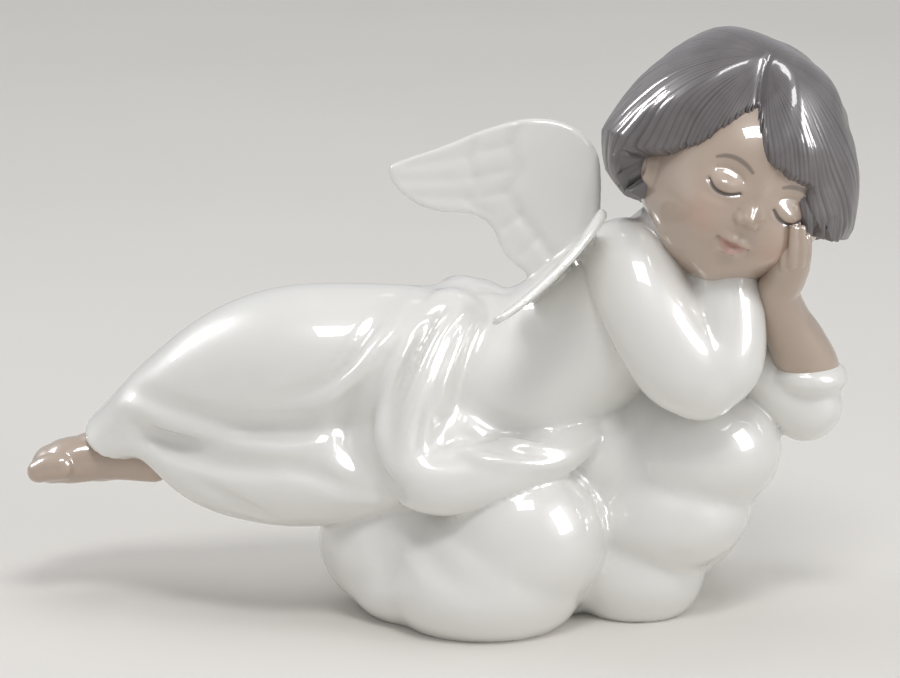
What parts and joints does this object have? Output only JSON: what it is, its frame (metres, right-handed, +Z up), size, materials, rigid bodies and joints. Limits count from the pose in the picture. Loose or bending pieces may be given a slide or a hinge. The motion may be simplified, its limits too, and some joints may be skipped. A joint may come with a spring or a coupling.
{
  "type": "sleeping angel statue",
  "caption": "Glazed porcelain figurine of a winged child in a long robe, asleep on a heap of round clouds with its cheek on one hand.",
  "frame": {"origin": "on the surface the cloud stands on, under the middle of the cloud", "axes": "+Z up, the angel lies along X with its feet at -X and its head at +X, and its front faces -Y"},
  "size_m": [0.1883, 0.086, 0.1348],
  "materials": {
    "white_glaze": "glossy white porcelain glaze",
    "skin_glaze": "glossy brown glaze",
    "hair_glaze": "glossy dark grey glaze"
  },
  "bodies": {
    "root": {"sleeping_angel": "white_glaze"}
  },
  "joints": []
}
